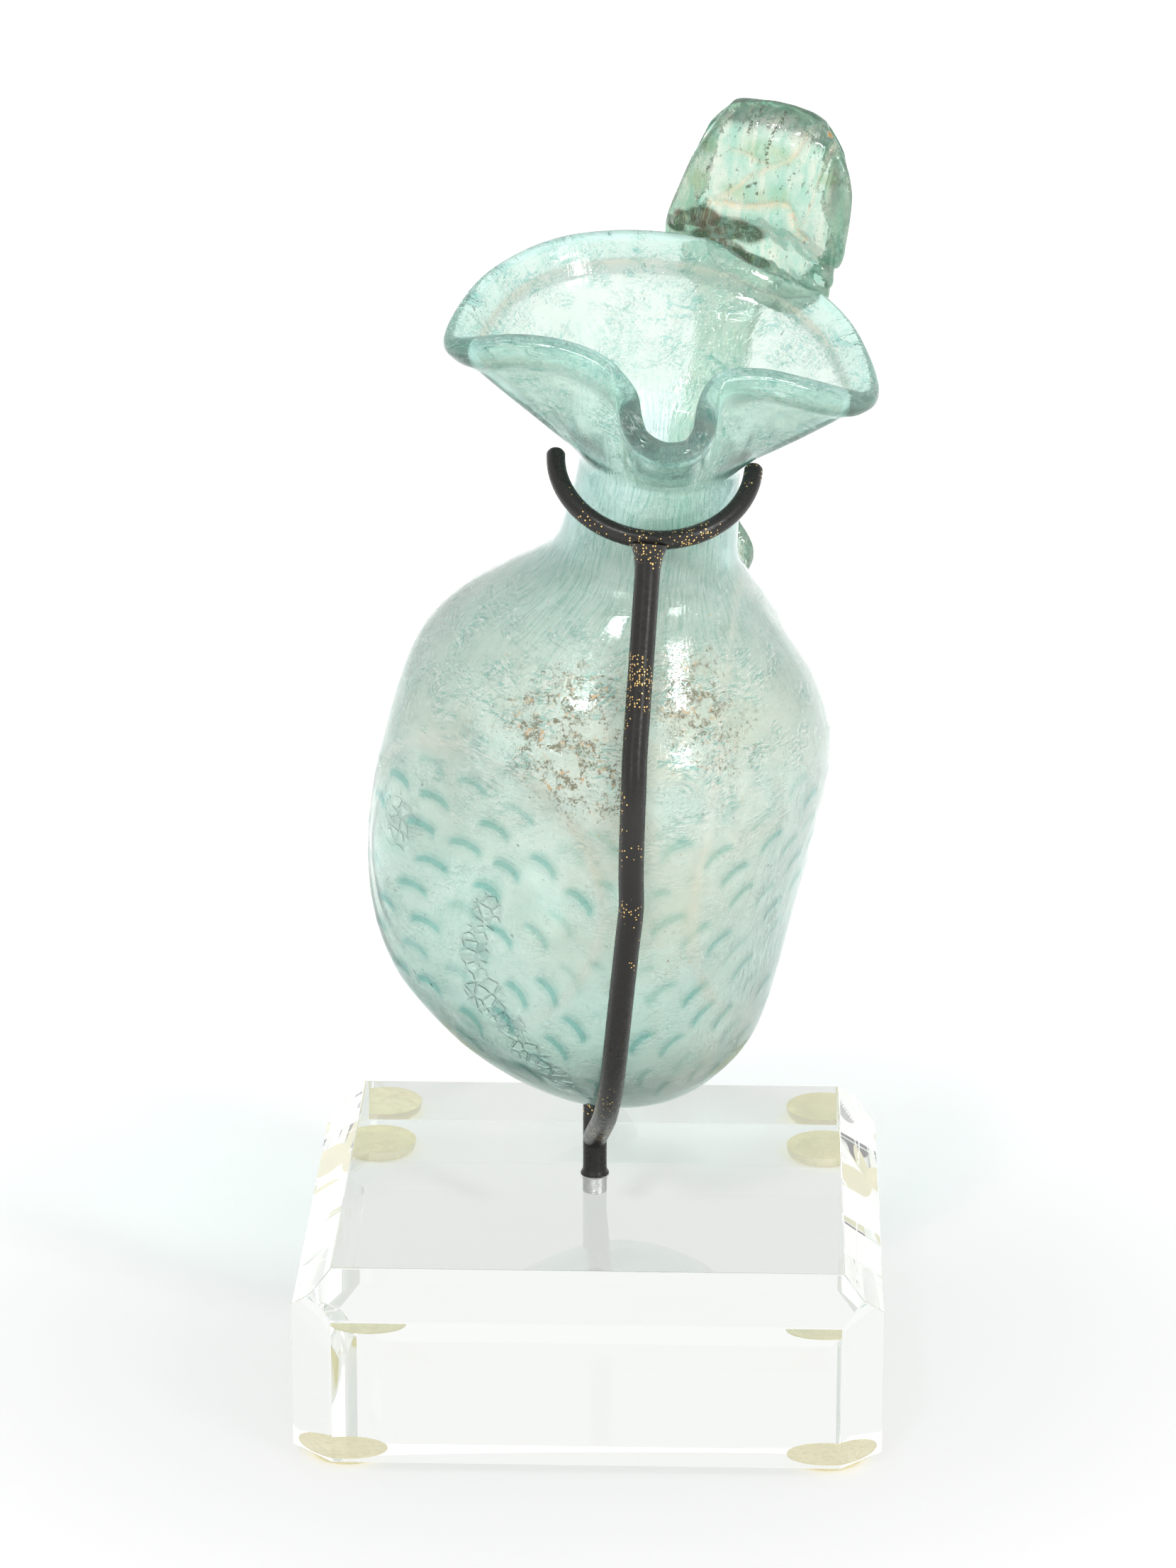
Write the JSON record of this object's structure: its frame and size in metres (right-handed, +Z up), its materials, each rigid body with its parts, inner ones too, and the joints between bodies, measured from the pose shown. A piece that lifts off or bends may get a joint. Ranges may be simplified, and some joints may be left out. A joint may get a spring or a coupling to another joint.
{
  "type": "blown glass jug on a wire display mount",
  "caption": "Ancient blown aqua glass jug with dented sides, trefoil mouth and trailed handle, tilted on a bent wire mount in a bevelled clear acrylic block.",
  "frame": {"origin": "middle of the acrylic block's footprint, on the surface that the pads stand on; the post stands over it", "axes": "+Z up, the spout and the upright towards -Y, the handle towards +Y and +X"},
  "size_m": [0.0762, 0.0766, 0.1712],
  "materials": {
    "clear_acrylic": "polished clear cast acrylic",
    "pad_rubber": "soft clear bumper, yellowed",
    "stud_steel": "threaded stud",
    "black_paint": "brown-black paint over brass rod, worn to brass in specks",
    "aqua_glass": "blown pale aqua glass with faint weathering",
    "handle_glass": "trailed aqua glass with cream weathering lines"
  },
  "bodies": {
    "base": {"acrylic_base": "clear_acrylic", "foot_pad_front_left": "pad_rubber", "foot_pad_front_right": "pad_rubber", "foot_pad_back_left": "pad_rubber", "foot_pad_back_right": "pad_rubber", "base_stud": "stud_steel"},
    "wire_mount": {"support_post": "black_paint", "front_upright": "black_paint", "neck_ring": "black_paint"},
    "jug": {"vessel_body": "aqua_glass", "handle": "handle_glass"}
  },
  "joints": [
    {"name": "mount_swivel", "type": "hinge", "parent": "base", "child": "wire_mount", "pos_m": [0, 0, 0.0264], "axis": [0, 0, 1], "continuous": true},
    {"name": "jug_lift_out", "type": "slide", "parent": "wire_mount", "child": "jug", "axis": [0, 0.866, 0.5], "range_m": [0, 0.06]}
  ]
}
